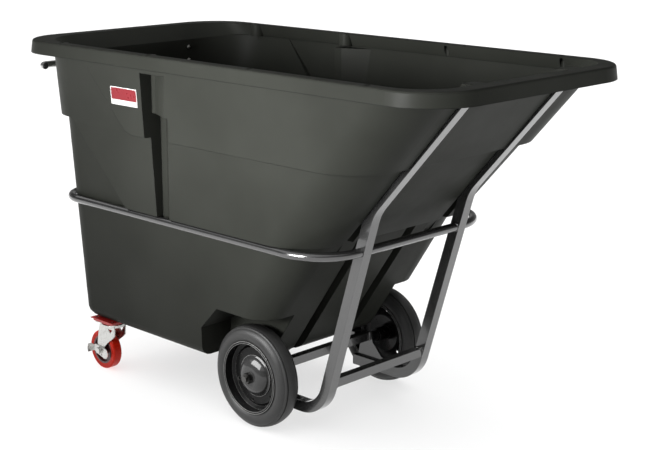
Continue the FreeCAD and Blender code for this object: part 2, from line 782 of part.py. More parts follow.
def handle_bolt_points(side):
    return [V(BACK_WALL, side * HANDLE_BRACKET_Y, HANDLE_Z + dz) for dz in (-22.0, 22.0)]


def handle_bolt_holes(side, radius):
    return [cyl(radius, 40.0, p + V(-15.0, 0, 0), V(1, 0, 0)) for p in handle_bolt_points(side)]


def handle_bolts():
    bolts = []
    for side in (-1, 1):
        for p in handle_bolt_points(side):
            shank = cyl(HANDLE_BOLT_RADIUS, WALL + 13.0, p + V(-5.0, 0, 0), V(1, 0, 0))
            head = Part.makeCone(7.5, 4.5, 3.6, p + V(-4.3, 0, 0), V(-1, 0, 0))
            nut = hexagon(11.0, 5.0, p + V(WALL + 0.2, 0, 0), V(1, 0, 0))
            bolts.append(fuse([shank, head, nut]))
    return Part.makeCompound(bolts)


# ---- casters: built about their kingpin, then set in place ------------------------------------
def place_caster(shape, name):
    side = -1 if name == "near" else 1
    shape.translate(V(CASTER_X, side * CASTER_Y, 0))
    return shape


def caster_bolt_points(side):
    points = []
    for sx in (-1, 1):
        for sy in (-1, 1):
            points.append(V(CASTER_X + sx * CASTER_BOLT_SPACING_X / 2,
                            side * CASTER_Y + sy * CASTER_BOLT_SPACING_Y / 2, 0))
    return points


def caster_bolt_holes(side, radius):
    holes = []
    for p in caster_bolt_points(side):
        holes.append(cyl(radius, 60.0, p + V(0, 0, CASTER_HEIGHT - 25.0), V(0, 0, 1)))
    return holes


def caster_plate(name):
    """Top plate with the upper raceway pressed under it."""
    side = -1 if name == "near" else 1
    top = CASTER_HEIGHT
    half_x = PLATE_LENGTH / 2
    half_y = PLATE_WIDTH / 2
    x, y = CASTER_X, side * CASTER_Y
    plate = box(x - half_x, x + half_x, y - half_y, y + half_y, top - PLATE_THICK, top)
    uprights = [e for e in plate.Edges if abs(e.tangentAt(e.FirstParameter).z) > 0.9]
    plate = plate.makeFillet(PLATE_CORNER, uprights)
    cup = Part.makeCone(41.0, 35.0, RACEWAY_DROP, V(x, y, top - PLATE_THICK), V(0, 0, -1))
    body = fuse([plate, cup])
    pin = cyl(KINGPIN_RADIUS, 60.0, V(x, y, top - 55.0), V(0, 0, 1))
    return body.cut([pin] + caster_bolt_holes(side, CASTER_BOLT_RADIUS + 0.3))


def caster_bolts():
    """Studs flush with the base plates' tops, with washers and nuts under the caster plates."""
    under = CASTER_HEIGHT - PLATE_THICK - 0.1
    low = under - 8.5
    top = FLOOR - 0.2
    bolts = []
    for side in (-1, 1):
        for p in caster_bolt_points(side):
            stud = cyl(CASTER_BOLT_RADIUS, top - low, p + V(0, 0, low), V(0, 0, 1))
            washer = cyl(8.0, 1.5, p + V(0, 0, under), V(0, 0, -1))
            nut = hexagon(13.0, 6.0, p + V(0, 0, under - 1.5), V(0, 0, -1))
            bolts.append(fuse([stud, washer, nut]))
    return Part.makeCompound(bolts)


def caster_kingpin(name):
    """Rivet through the top plate and the fork crown, headed below."""
    low = FORK_TOP - FORK_CROWN - 6.0
    shaft = cyl(KINGPIN_RADIUS, CASTER_HEIGHT - low, V(0, 0, low), V(0, 0, 1))
    head = cyl(KINGPIN_RADIUS + 5.0, 5.0, V(0, 0, low - 0.4), V(0, 0, 1))
    return place_caster(fuse([shaft, head]), name)


def fork_cheek(y):
    """One side of the fork: broad at the crown, its leading edge drawn back to the axle."""
    top = FORK_TOP
    x = -CASTER_OFFSET
    z = CASTER_RADIUS
    points = [(-40.0, top), (33.0, top), (35.0, top - 12.0), (33.0, top - 36.0), (20.0, top - 48.0),
              (6.0, top - 57.5), (-7.3, top - 68.0), (-18.0, top - 78.5), (x + 17.0, z + 8.0),
              (x + 13.0, z - 6.0), (x - 13.0, z - 6.0), (x - 13.5, z + 24.0), (x - 6.0, z + 66.0)]
    plate = prism_xz(points, y, y + FORK_THICK)
    eye = cyl(15.0, FORK_THICK, V(x, y, z), V(0, 1, 0))
    triangle = [(-2.0, top - 16.0), (24.0, top - 16.0), (11.0, top - 30.0)]
    vent = prism_xz(triangle, y - 1.0, y + FORK_THICK + 1.0)
    return plate.fuse(eye).cut(vent)


def caster_fork(name):
    crown = cyl(38.0, FORK_CROWN, V(0, 0, FORK_TOP - FORK_CROWN), V(0, 0, 1))
    outer = FORK_HALF + FORK_THICK
    bridge = box(-33.0, 33.0, -outer, outer, FORK_TOP - FORK_CROWN, FORK_TOP)
    body = fuse([crown, bridge, fork_cheek(FORK_HALF), fork_cheek(-outer)])
    bore = cyl(KINGPIN_RADIUS + 0.06, 40.0, V(0, 0, FORK_TOP - 30.0), V(0, 0, 1))
    axle = cyl(CASTER_AXLE_RADIUS + 0.06, 120.0, V(-CASTER_OFFSET, -60.0, CASTER_RADIUS), V(0, 1, 0))
    return place_caster(body.cut([bore, axle]), name)


def caster_axle(name):
    """Bolt, washer and nut on the fork; the wheel and the brake lever turn on the bolt."""
    x = -CASTER_OFFSET
    z = CASTER_RADIUS
    far = FORK_HALF + FORK_THICK + 0.2
    near = -far - BRAKE_THICK - 0.6
    bolt = cyl(CASTER_AXLE_RADIUS, far - near + 20.0, V(x, near - 8.0, z), V(0, 1, 0))
    washer = cyl(12.0, 1.6, V(x, near, z), V(0, -1, 0))
    nut = hexagon(18.0, 7.0, V(x, near - 1.6, z), V(0, -1, 0))
    head = hexagon(18.0, 7.0, V(x, far, z), V(0, 1, 0))
    beyond = box(x - 20.0, x + 20.0, far + 7.0, far + 40.0, z - 20.0, z + 20.0)
    return place_caster(fuse([bolt.cut(beyond), washer, nut, head]), name)


def caster_tread(name):
    w = CASTER_WIDTH / 2
    r = CASTER_RADIUS
    core = CASTER_CORE_RADIUS + 0.05
    steps = [[(core, w - 1.0)], [(r - 5.0, w)], [(r - 1.3, w - 1.5), (r, w - 6.0)], [(r, -w + 6.0)],
             [(r - 1.3, -w + 1.5), (r - 5.0, -w)], [(core, -w + 1.0)]]
    face = curved_face((core, -w + 1.0), steps)
    return place_caster(revolve_face_y(face, -CASTER_OFFSET, 0.0, CASTER_RADIUS, 1), name)


def caster_core(name):
    """Moulded wheel centre: rim, dished web and hub."""
    w = CASTER_WIDTH / 2
    r = CASTER_CORE_RADIUS
    outline = [(r, w - 1.0), (r - 6.0, w - 1.0), (r - 9.0, 6.0), (18.0, 6.0), (16.0, FORK_HALF - 0.8),
               (CASTER_SLEEVE_RADIUS, FORK_HALF - 0.8)]
    mirrored = [(r, -o) for r, o in reversed(outline)]
    shape = revolve_y(outline + mirrored, -CASTER_OFFSET, 0.0, CASTER_RADIUS, 1)
    return place_caster(shape, name)


def caster_sleeve(name):
    half = FORK_HALF - 0.5
    bore = CASTER_AXLE_RADIUS + 0.06
    outline = [(bore, -half), (CASTER_SLEEVE_RADIUS, -half), (CASTER_SLEEVE_RADIUS, half), (bore, half)]
    return place_caster(revolve_y(outline, -CASTER_OFFSET, 0.0, CASTER_RADIUS, 1), name)


def brake_pedal(name):
    """A lever on the axle bolt, with a round lobe in front and a foot pad bent out behind."""
    x = -CASTER_OFFSET
    z = CASTER_RADIUS
    outer = -(FORK_HALF + FORK_THICK + 0.4)
    inner = outer - BRAKE_THICK
    lever = [(-2.0, 14.0), (-22.0, 17.0), (-30.0, 12.0), (-46.0, 14.0), (-50.0, 0.0), (-48.0, -13.0),
             (-40.0, -11.0), (-28.0, -6.0), (-14.0, -14.0), (24.0, -23.5), (24.0, 11.5)]
    pad = [(-46.0, 14.0), (-50.0, 0.0), (-48.0, -13.0), (-45.4, -13.0), (-47.3, 0.0), (-43.4, 14.0)]
    pieces = [
        prism_xz([(x + a, z + b) for a, b in lever], inner, outer),
        prism_xz([(x + a, z + b) for a, b in pad], outer - 16.0, outer),
        cyl(17.5, BRAKE_THICK, V(x + 24.0, inner, z - 6.0), V(0, 1, 0)),
        cyl(15.0, BRAKE_THICK, V(x, inner, z), V(0, 1, 0)),
    ]
    bore = cyl(CASTER_AXLE_RADIUS + 0.06, 120.0, V(x, -60.0, z), V(0, 1, 0))
    peep = cyl(2.6, 120.0, V(x + 9.0, -60.0, z - 14.0), V(0, 1, 0))
    return place_caster(fuse(pieces).cut([bore, peep]), name)


def nodes():
    """Every node name with its shape."""
    made = {
        "tub": tub, "tub_label": tub_label,
        "rail_rear_loop": rail_loop, "rail_front_bar": rail_front_bar,
        "leg_end_plugs": leg_end_plugs, "leg_bolts": leg_bolts, "lower_crossbar": lower_crossbar,
        "axle_tube": axle_tube, "axle_shaft": axle_shaft, "axle_gussets": axle_gussets,
        "axle_collars": axle_collars, "axle_nuts": axle_nuts,
        "base_rails": base_rails, "base_cross_tube": base_cross_tube,
        "caster_base_plates": caster_base_plates, "caster_bolts": caster_bolts,
        "handle_bar": handle_bar, "handle_plugs": handle_plugs, "handle_brackets": handle_brackets,
        "handle_bolts": handle_bolts,
    }
    wheel_parts = {"tyre": tyre, "wheel_disc": wheel_disc, "wheel_hub": wheel_hub,
                   "wheel_bearing": wheel_bearing, "hub_cap": hub_cap}
    caster_parts = {"caster_plate": caster_plate, "caster_kingpin": caster_kingpin,
                    "caster_fork": caster_fork, "caster_axle": caster_axle,
                    "caster_tread": caster_tread, "caster_core": caster_core,
                    "caster_sleeve": caster_sleeve, "brake_pedal": brake_pedal}
    for name, side in (("near", -1), ("far", 1)):
        made[name + "_leg"] = lambda side=side: leg(side)
        for part, make in wheel_parts.items():
            made[name + "_" + part] = lambda make=make, side=side: make(side)
        for part, make in caster_parts.items():
            made[name + "_" + part] = lambda make=make, name=name: make(name)
    return made


def main():
    os.makedirs("parts", exist_ok=True)
    for name, make in nodes().items():
        shape = make()
        shape.exportStep("parts/" + name + ".step")
        print(name, shape.isValid(), len(shape.Solids), round(shape.Volume / 1000.0, 2))


main()
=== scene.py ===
import json
import math

import bpy
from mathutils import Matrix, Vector


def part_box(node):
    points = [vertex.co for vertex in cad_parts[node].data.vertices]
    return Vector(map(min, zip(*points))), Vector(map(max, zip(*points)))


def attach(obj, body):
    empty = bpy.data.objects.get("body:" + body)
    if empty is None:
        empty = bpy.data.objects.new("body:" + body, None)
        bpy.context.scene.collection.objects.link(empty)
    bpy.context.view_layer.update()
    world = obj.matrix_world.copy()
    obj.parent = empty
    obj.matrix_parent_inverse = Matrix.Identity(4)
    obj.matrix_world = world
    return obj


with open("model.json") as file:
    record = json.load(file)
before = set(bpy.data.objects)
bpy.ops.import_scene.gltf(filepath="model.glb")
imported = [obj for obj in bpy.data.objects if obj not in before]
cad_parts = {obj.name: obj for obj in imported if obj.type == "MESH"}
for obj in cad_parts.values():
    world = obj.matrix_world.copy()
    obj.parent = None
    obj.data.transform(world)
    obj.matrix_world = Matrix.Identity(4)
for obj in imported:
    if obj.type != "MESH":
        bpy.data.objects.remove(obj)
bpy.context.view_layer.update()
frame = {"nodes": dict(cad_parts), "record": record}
NODES = frame["nodes"]
SIDES = (("near", -1.0), ("far", 1.0))


# ---- node trees ------------------------------------------------------------------------------
NOISE_LOW, NOISE_HIGH = 0.3, 0.7      # most of a noise field lies between these levels
BEVEL_SAMPLES = 4
EDGE_DOT, FLAT_DOT = 0.9, 0.999       # bevelled normal dot true normal: on an edge, on a flat face


class Finish:
    """A Principled material; colour, roughness and relief come from small node helpers."""

    def __init__(self, name, **fixed):
        self.material = bpy.data.materials.new(name)
        self.material.use_nodes = True
        self.nodes = self.material.node_tree.nodes
        self.links = self.material.node_tree.links
        self.shader = self.nodes["Principled BSDF"]
        for socket, value in fixed.items():
            self.shader.inputs[socket.replace("_", " ")].default_value = value
        self.place = self.add("ShaderNodeTexCoord").outputs["Object"]

    def add(self, kind, **settings):
        node = self.nodes.new(kind)
        for key, value in settings.items():
            setattr(node, key, value)
        return node

    def feed(self, socket, value):
        """Link an output to the socket, or set the socket to a number, vector or colour."""
        if hasattr(value, "is_output"):
            self.links.new(value, socket)
        elif isinstance(value, tuple) and len(value) == 3 and socket.type == "RGBA":
            socket.default_value = (*value, 1.0)
        else:
            socket.default_value = value

    def math(self, operation, a, b):
        node = self.add("ShaderNodeMath", operation=operation)
        self.feed(node.inputs[0], a)
        self.feed(node.inputs[1], b)
        return node.outputs[0]

    def times(self, a, b):
        return self.math("MULTIPLY", a, b)

    def plus(self, a, b):
        return self.math("ADD", a, b)

    def stretched(self, scale):
        node = self.add("ShaderNodeMapping")
        self.feed(node.inputs["Vector"], self.place)
        self.feed(node.inputs["Scale"], scale)
        return node.outputs[0]

    def noise(self, scale, detail, rough=0.55, vector=None, distortion=0.0):
        node = self.add("ShaderNodeTexNoise")
        self.feed(node.inputs["Vector"], vector or self.place)
        self.feed(node.inputs["Scale"], scale)
        self.feed(node.inputs["Detail"], detail)
        self.feed(node.inputs["Roughness"], rough)
        self.feed(node.inputs["Distortion"], distortion)
        return node.outputs["Fac"]

    def cells(self, scale):
        node = self.add("ShaderNodeTexVoronoi", feature="F1")
        self.feed(node.inputs["Vector"], self.place)
        self.feed(node.inputs["Scale"], scale)
        return node.outputs["Distance"]

    def ramp(self, fac, low, high, a=0.0, b=1.0):
        """The value a at the level low, b at the level high, and a straight line between."""
        node = self.add("ShaderNodeMapRange")
        self.feed(node.inputs["Value"], fac)
        for key, value in (("From Min", low), ("From Max", high), ("To Min", a), ("To Max", b)):
            self.feed(node.inputs[key], value)
        return node.outputs[0]

    def patches(self, scale, detail, low=NOISE_LOW, high=NOISE_HIGH, **shape):
        """A mask of noise: 0 where it is below the level low, 1 above the level high."""
        return self.ramp(self.noise(scale, detail, **shape), low, high)

    def varied(self, field, least, most):
        """A noise field spread out to run from least to most."""
        return self.ramp(field, NOISE_LOW, NOISE_HIGH, least, most)

    def mix(self, fac, a, b):
        node = self.add("ShaderNodeMix", data_type="RGBA", blend_type="MIX")
        self.feed(node.inputs["Factor"], fac)
        self.feed(node.inputs["A"], a)
        self.feed(node.inputs["B"], b)
        return node.outputs["Result"]

    def over(self, base, tone, mask, most):
        """The base colour with a tone laid over it, as strong as most where the mask is 1."""
        return self.mix(self.times(mask, most), base, tone)

    def axis(self, name):
        node = self.add("ShaderNodeSeparateXYZ")
        self.feed(node.inputs[0], self.place)
        return node.outputs[name]

    def edges(self, radius):
        """1 on sharp edges, 0 on flat faces."""
        bevel = self.add("ShaderNodeBevel", samples=BEVEL_SAMPLES)
        self.feed(bevel.inputs["Radius"], radius)
        geometry = self.add("ShaderNodeNewGeometry")
        dot = self.add("ShaderNodeVectorMath", operation="DOT_PRODUCT")
        self.links.new(bevel.outputs[0], dot.inputs[0])
        self.links.new(geometry.outputs["Normal"], dot.inputs[1])
        return self.ramp(dot.outputs["Value"], EDGE_DOT, FLAT_DOT, 1.0, 0.0)

    def relief(self, height, strength, distance, round_edges=0.0):
        bump = self.add("ShaderNodeBump")
        self.feed(bump.inputs["Height"], height)
        self.feed(bump.inputs["Strength"], strength)
        self.feed(bump.inputs["Distance"], distance)
        if round_edges:
            bevel = self.add("ShaderNodeBevel", samples=BEVEL_SAMPLES)
            self.feed(bevel.inputs["Radius"], round_edges)
            self.links.new(bevel.outputs[0], bump.inputs["Normal"])
        self.links.new(bump.outputs[0], self.shader.inputs["Normal"])

    def colour(self, value):
        self.feed(self.shader.inputs["Base Color"], value)

    def roughness(self, value):
        self.feed(self.shader.inputs["Roughness"], value)


# ---- finishes: tones are linear RGB, noise scales are per metre, radii and reliefs are metres ----
def grey(level):
    return (level, level, level)


def shade(tone, factor):
    return tuple(channel * factor for channel in tone)


def hopper_finish():
    """Moulded polyethylene: olive black, faintly mottled and scuffed, with painted shade darkening
    the moulded edges.
    """
    olive_dark, olive_light = (0.0132, 0.0139, 0.0118), (0.0184, 0.0193, 0.0167)
    speck_tone, scuff_tone, painted_edge_shading_tone = (0.08, 0.08, 0.075), (0.065, 0.065, 0.06), grey(0.004)
    f = Finish("hopper_moulded", Specular_IOR_Level=0.04)
    mottle = f.patches(scale=2.6, detail=4.0, low=0.32, high=0.70)
    base = f.mix(mottle, olive_dark, olive_light)
    specks = f.patches(scale=900.0, detail=2.0, low=0.66, high=0.80)
    base = f.over(base, speck_tone, specks, most=0.10)
    sideways = f.stretched((0.25, 0.25, 3.0))
    scuffs = f.patches(scale=38.0, detail=6.0, low=0.64, high=0.74,
                       rough=0.7, vector=sideways, distortion=0.6)
    scuffs = f.times(scuffs, f.patches(scale=4.0, detail=2.0, low=0.48, high=0.66))
    base = f.over(base, scuff_tone, scuffs, most=0.22)
    uneven = f.patches(scale=24.0, detail=4.0, low=0.25, high=0.45)
    # painted shade: the moulded edges are darkened in patches, standing in for the shadow lines
    # along ledges and creases
    base = f.over(base, painted_edge_shading_tone, f.times(f.edges(radius=0.004), uneven), most=0.75)
    f.colour(base)
    smooth = f.varied(f.noise(scale=7.0, detail=5.0, rough=0.6), least=0.40, most=0.50)
    f.roughness(f.plus(smooth, f.times(scuffs, 0.12)))
    fine = f.noise(scale=420.0, detail=2.0)
    middle = f.times(f.noise(scale=60.0, detail=3.0), 0.5)
    swell = f.times(f.noise(scale=5.0, detail=1.0), 1.6)
    height = f.plus(f.plus(fine, middle), swell)
    f.relief(height, strength=0.10, distance=0.0012, round_edges=0.003)
    return f.material


def paint_finish(name, tone, rough, spec, coat, edge_wear_and_highlight):
    """Black powder coat or enamel: fine orange peel, dust, and edges lightened partly as rubbed wear
    and partly as painted highlight.
    """
    wear_and_highlight_tone, dust_tone = (0.20, 0.197, 0.19), (0.10, 0.098, 0.09)
    f = Finish(name, Specular_IOR_Level=spec, Coat_Weight=coat, Coat_Roughness=0.06)
    cloud = f.patches(scale=9.0, detail=3.0, low=0.35, high=0.7)
    base = f.mix(cloud, shade(tone, 0.8), shade(tone, 1.25))
    uneven = f.patches(scale=45.0, detail=5.0, low=0.66 - 0.46 * edge_wear_and_highlight, high=0.72, rough=0.65)
    # the edges are lightened: partly rubbed wear, partly a painted highlight, strongest on the wheel
    # and cap enamels where it stands in for bright rings of light
    worn_and_highlit_edges = f.times(f.edges(radius=0.0016), uneven)
    base = f.over(base, wear_and_highlight_tone, worn_and_highlit_edges, most=edge_wear_and_highlight)
    dust = f.patches(scale=70.0, detail=5.0, low=0.62, high=0.8, rough=0.7)
    base = f.over(base, dust_tone, dust, most=0.12)
    f.colour(base)
    smooth = f.varied(f.noise(scale=26.0, detail=4.0), least=rough, most=rough + 0.08)
    f.roughness(f.plus(smooth, f.times(dust, 0.15)))
    f.relief(f.noise(scale=520.0, detail=2.0), strength=0.06, distance=0.0006, round_edges=0.0012)
    return f.material


def steel_finish(name, tone, rough, spangle):
    """Plated or bare steel: crystal spangle, brushed scratches, dull patches."""
    f = Finish(name, Metallic=1.0)
    grain = f.ramp(f.cells(spangle), 0.0, 0.9)
    base = f.mix(grain, shade(tone, 0.82), tone)
    stain = f.patches(scale=60.0, detail=5.0, low=0.55, high=0.78, rough=0.65)
    base = f.over(base, shade(tone, 0.45), stain, most=0.45)
    f.colour(base)
    sideways = f.stretched((1.0, 1.0, 9.0))
    lines = f.noise(scale=160.0, detail=4.0, rough=0.6, vector=sideways)
    smooth = f.varied(lines, least=rough, most=rough + 0.14)
    f.roughness(f.plus(smooth, f.times(stain, 0.18)))
    height = f.plus(lines, f.times(grain, 0.6))
    f.relief(height, strength=0.06, distance=0.0004, round_edges=0.0008)
    return f.material


def rubber_finish():
    """Tyre rubber: near black with a satin sheen, powdery bloom and fine grit."""
    dark, light, grit_tone = grey(0.013), (0.021, 0.021, 0.0207), (0.08, 0.078, 0.072)
    f = Finish("tyre_rubber", Specular_IOR_Level=0.42)
    bloom = f.patches(scale=11.0, detail=5.0, low=0.32, high=0.7, rough=0.6)
    base = f.mix(bloom, dark, light)
    grit = f.patches(scale=260.0, detail=4.0, low=0.6, high=0.78, rough=0.7)
    base = f.over(base, grit_tone, grit, most=0.3)
    f.colour(base)
    f.roughness(f.varied(f.noise(scale=18.0, detail=4.0), least=0.46, most=0.56))
    fine, coarse = f.noise(scale=380.0, detail=3.0), f.noise(scale=40.0, detail=3.0)
    f.relief(f.plus(fine, f.times(coarse, 0.6)), strength=0.14, distance=0.0006)
    return f.material


def tread_finish():
    """Cast polyurethane: deep red, a little translucent, scuffed, with a painted highlight
    lightening the edges.
    """
    dark, light = (0.33, 0.0085, 0.002), (0.44, 0.013, 0.003)
    rub_tone, painted_edge_shading_tone = (0.18, 0.016, 0.012), (0.55, 0.06, 0.025)
    f = Finish("red_urethane", Specular_IOR_Level=0.12, Subsurface_Weight=0.12,
               Subsurface_Scale=0.004, Coat_Weight=0.05, Coat_Roughness=0.2)
    base = f.mix(f.patches(scale=30.0, detail=4.0), dark, light)
    across = f.stretched((1.0, 0.3, 1.0))
    rub = f.patches(scale=120.0, detail=5.0, low=0.6, high=0.76, rough=0.7, vector=across)
    base = f.over(base, rub_tone, rub, most=0.3)
    # painted highlight: the edges are lightened to an orange red, standing in for light catching
    # them
    base = f.over(base, painted_edge_shading_tone, f.edges(radius=0.0022), most=0.7)
    f.colour(base)
    f.roughness(f.varied(f.noise(scale=50.0, detail=4.0), least=0.26, most=0.42))
    f.relief(f.noise(scale=300.0, detail=3.0), strength=0.08, distance=0.0005, round_edges=0.001)
    return f.material


def red_enamel_finish(name, dark, light, rough):
    """Glossy red enamel with small chips along the edges."""
    chip_tone = (0.45, 0.16, 0.13)
    f = Finish(name, Specular_IOR_Level=0.5, Coat_Weight=0.4, Coat_Roughness=0.12)
    base = f.mix(f.patches(scale=34.0, detail=5.0, rough=0.6), dark, light)
    uneven = f.patches(scale=90.0, detail=4.0, low=0.5, high=0.7)
    base = f.over(base, chip_tone, f.times(f.edges(radius=0.0012), uneven), most=0.6)
    f.colour(base)
    f.roughness(f.varied(f.noise(scale=60.0, detail=4.0), least=rough, most=rough + 0.12))
    f.relief(f.noise(scale=420.0, detail=2.0), strength=0.08, distance=0.0005, round_edges=0.0008)
    return f.material


def plastic_finish():
    """Black moulded plugs with a fine grain."""
    dark, light = grey(0.012), (0.024, 0.024, 0.025)
    f = Finish("plug_plastic", Specular_IOR_Level=0.4)
    f.colour(f.mix(f.patches(scale=80.0, detail=4.0), dark, light))
    f.roughness(f.varied(f.noise(scale=120.0, detail=3.0), least=0.38, most=0.52))
    f.relief(f.noise(scale=700.0, detail=2.0), strength=0.15, distance=0.0004, round_edges=0.001)
    return f.material


def label_finish():
    """A plain two-colour sticker: red field over a white strip, a thin border and no lettering."""
    red, strip_tone = (0.105, 0.0026, 0.0062), (0.30, 0.30, 0.295)
    border_tone, stain_tone = (0.34, 0.335, 0.33), (0.20, 0.10, 0.10)
    strip_share, border = 0.30, 0.0028
    low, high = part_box("tub_label")
    f = Finish("sticker_print", Specular_IOR_Level=0.3, Coat_Weight=0.1, Coat_Roughness=0.1)
    x, z = f.axis("X"), f.axis("Z")
    split = low.z + strip_share * (high.z - low.z)
    base = f.mix(f.math("GREATER_THAN", z, split), strip_tone, red)
    inside = f.times(f.math("GREATER_THAN", x, low.x + border),
                     f.math("LESS_THAN", x, high.x - border))
    inside = f.times(inside, f.math("LESS_THAN", z, high.z - border))
    inside = f.times(inside, f.math("GREATER_THAN", z, low.z + border))
    base = f.mix(inside, border_tone, base)
    stain = f.patches(scale=400.0, detail=3.0, low=0.6, high=0.8)
    base = f.over(base, stain_tone, stain, most=0.06)
    f.colour(base)
    f.roughness(f.varied(f.noise(scale=60.0, detail=3.0), least=0.25, most=0.38))
    f.relief(f.noise(scale=90.0, detail=2.0), strength=0.08, distance=0.0004)
    return f.material


def floor_finish():
    f = Finish("pale_floor", Specular_IOR_Level=0.2)
    f.colour(f.mix(f.patches(scale=0.6, detail=2.0), grey(0.86), grey(0.88)))
    f.roughness(f.varied(f.noise(scale=2.0, detail=2.0), least=0.75, most=0.85))
    return f.material


FINISHES = {
    "hopper_plastic": hopper_finish(),
    "label": label_finish(),
    "frame_steel": paint_finish("frame_paint", grey(0.008), rough=0.17, spec=1.0, coat=0.9,
                                edge_wear_and_highlight=0.35),
    "handle_steel": steel_finish("handle_plating", (0.62, 0.62, 0.61), rough=0.24, spangle=300.0),
    "black_plastic": plastic_finish(),
    "zinc": steel_finish("zinc_plating", (0.66, 0.66, 0.64), rough=0.20, spangle=420.0),
    "black_bolt": steel_finish("black_oxide", (0.075, 0.074, 0.072), rough=0.20, spangle=380.0),
    "axle_steel": steel_finish("axle_steel_oiled", (0.12, 0.118, 0.115), rough=0.26,
                               spangle=500.0),
    "tyre": rubber_finish(),
    # wheel and cap enamels: their high edge value paints highlight rings along the edges, beyond the
    # real wear
    "wheel_paint": paint_finish("wheel_enamel", grey(0.005), rough=0.20, spec=0.12, coat=0.05,
                                edge_wear_and_highlight=0.85),
    "hub_cap": paint_finish("cap_enamel", grey(0.024), rough=0.06, spec=0.42, coat=0.12,
                            edge_wear_and_highlight=0.8),
    "caster_red_plate": red_enamel_finish("plate_enamel", dark=(0.24, 0.009, 0.009),
                                          light=(0.34, 0.015, 0.013), rough=0.3),
    "red_tread": tread_finish(),
    "caster_core": red_enamel_finish("core_enamel", dark=(0.030, 0.003, 0.003),
                                     light=(0.055, 0.005, 0.005), rough=0.34),
}

slot_of = {row["node"]: row["material_slot"] for row in frame["record"]["subparts"]}
for name, node in NODES.items():
    node.data.materials.clear()
    node.data.materials.append(FINISHES[slot_of[name]])


# ---- weld beads --------------------------------------------------------------------------------
RING_SIDES = 8                # sides of the round section of a bead or a rolled lip
BEAD_RADIUS = 0.0023
BEAD_PITCH = 0.0042           # from ripple to ripple
DOTS_PER_RIPPLE = 4
GUSSET_PLATE = 0.008          # thickness, between the two welded faces
GUSSET_CORNER = 0.006         # the bead stops this short of the gusset's corners
BASE_TUBE_CORNER = 0.004      # and of the cross tube's top, which lies against the rails


def bead_swell(i):
    """The bead's radius at its dot i: a ripple every fourth dot, and a slow uneven drift."""
    ripple = 0.14 * math.cos(2.0 * math.pi * (i % DOTS_PER_RIPPLE) / DOTS_PER_RIPPLE)
    drift = 0.05 * math.sin(i * 0.37)
    return BEAD_RADIUS * (0.86 + ripple + drift)


def solid_from(name, verts, faces, material):
    mesh = bpy.data.meshes.new(name)
    mesh.from_pydata(verts, [], faces)
    mesh.materials.append(material)
    mesh.shade_smooth()
    piece = bpy.data.objects.new(name, mesh)
    bpy.context.scene.collection.objects.link(piece)
    return piece


def weld_bead(name, path, closed):
    """A rippled bead laid along straight runs between the points of a path."""
    corners = [Vector(p) for p in path]
    if closed:
        corners.append(corners[0])
    dots = []
    for a, b in zip(corners, corners[1:]):
        count = max(2, round((b - a).length / (BEAD_PITCH / DOTS_PER_RIPPLE)))
        dots += [a.lerp(b, i / count) for i in range(count)]
    if not closed:
        dots.append(corners[-1])
    verts, faces = [], []
    for i, dot in enumerate(dots):
        before = dots[i - 1] if (closed or i) else dots[0]
        after = dots[(i + 1) % len(dots)] if (closed or i + 1 < len(dots)) else dots[-1]
        along = (after - before).normalized()
        across = along.orthogonal().normalized()
        other = along.cross(across)
        for k in range(RING_SIDES):
            turn = 2.0 * math.pi * k / RING_SIDES
            verts.append(dot + bead_swell(i) * (math.cos(turn) * across + math.sin(turn) * other))
    for i in range(len(dots) if closed else len(dots) - 1):
        a, b = i * RING_SIDES, ((i + 1) % len(dots)) * RING_SIDES
        faces += [(a + k, a + (k + 1) % RING_SIDES, b + (k + 1) % RING_SIDES, b + k)
                  for k in range(RING_SIDES)]
    if not closed:
        first_end = tuple(range(RING_SIDES))[::-1]
        last_end = tuple(range(len(verts) - RING_SIDES, len(verts)))
        faces += [first_end, last_end]
    piece = solid_from(name, verts, faces, FINISHES["frame_steel"])
    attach(piece, "truck")


def square_path(x, y, z, half):
    return [(x - half, y, z - half), (x + half, y, z - half),
            (x + half, y, z + half), (x - half, y, z + half)]


def round_path(x, y, z, radius, steps=24):
    turns = [2.0 * math.pi * i / steps for i in range(steps)]
    return [(x + radius * math.cos(t), y, z + radius * math.sin(t)) for t in turns]


def centre_of(node):
    """The centre of a CAD node's box, and half its size."""
    low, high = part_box(node)
    return (low + high) / 2.0, (high - low) / 2.0


def make_welds():
    bar, bar_half = centre_of("lower_crossbar")
    tube, tube_half = centre_of("axle_tube")
    front, front_half = centre_of("rail_front_bar")
    back, back_half = centre_of("base_cross_tube")
    gusset_low, gusset_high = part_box("axle_gussets")
    for tag, side in SIDES:
        bar_end = square_path(bar.x, side * bar_half.y, bar.z, bar_half.z)
        weld_bead("weld_crossbar_" + tag, bar_end, True)
        tube_end = square_path(tube.x, side * tube_half.y, tube.z, tube_half.z)
        weld_bead("weld_axle_tube_" + tag, tube_end, True)
        front_end = round_path(front.x, side * front_half.y, front.z, front_half.z)
        weld_bead("weld_front_bar_" + tag, front_end, True)
        y, h = side * back_half.y, back_half.x
        top = back.z + h - BASE_TUBE_CORNER
        under = [(back.x - h, y, top), (back.x - h, y, back.z - h),
                 (back.x + h, y, back.z - h), (back.x + h, y, top)]
        weld_bead("weld_base_tube_" + tag, under, False)
        for face, offset in (("outer", 0.0), ("inner", -GUSSET_PLATE)):
            y = side * (gusset_high.y + offset)
            foot = [(gusset_low.x + GUSSET_CORNER, y, gusset_low.z),
                    (gusset_high.x - GUSSET_CORNER, y, gusset_low.z)]
            weld_bead("weld_gusset_%s_%s" % (face, tag), foot, False)


make_welds()


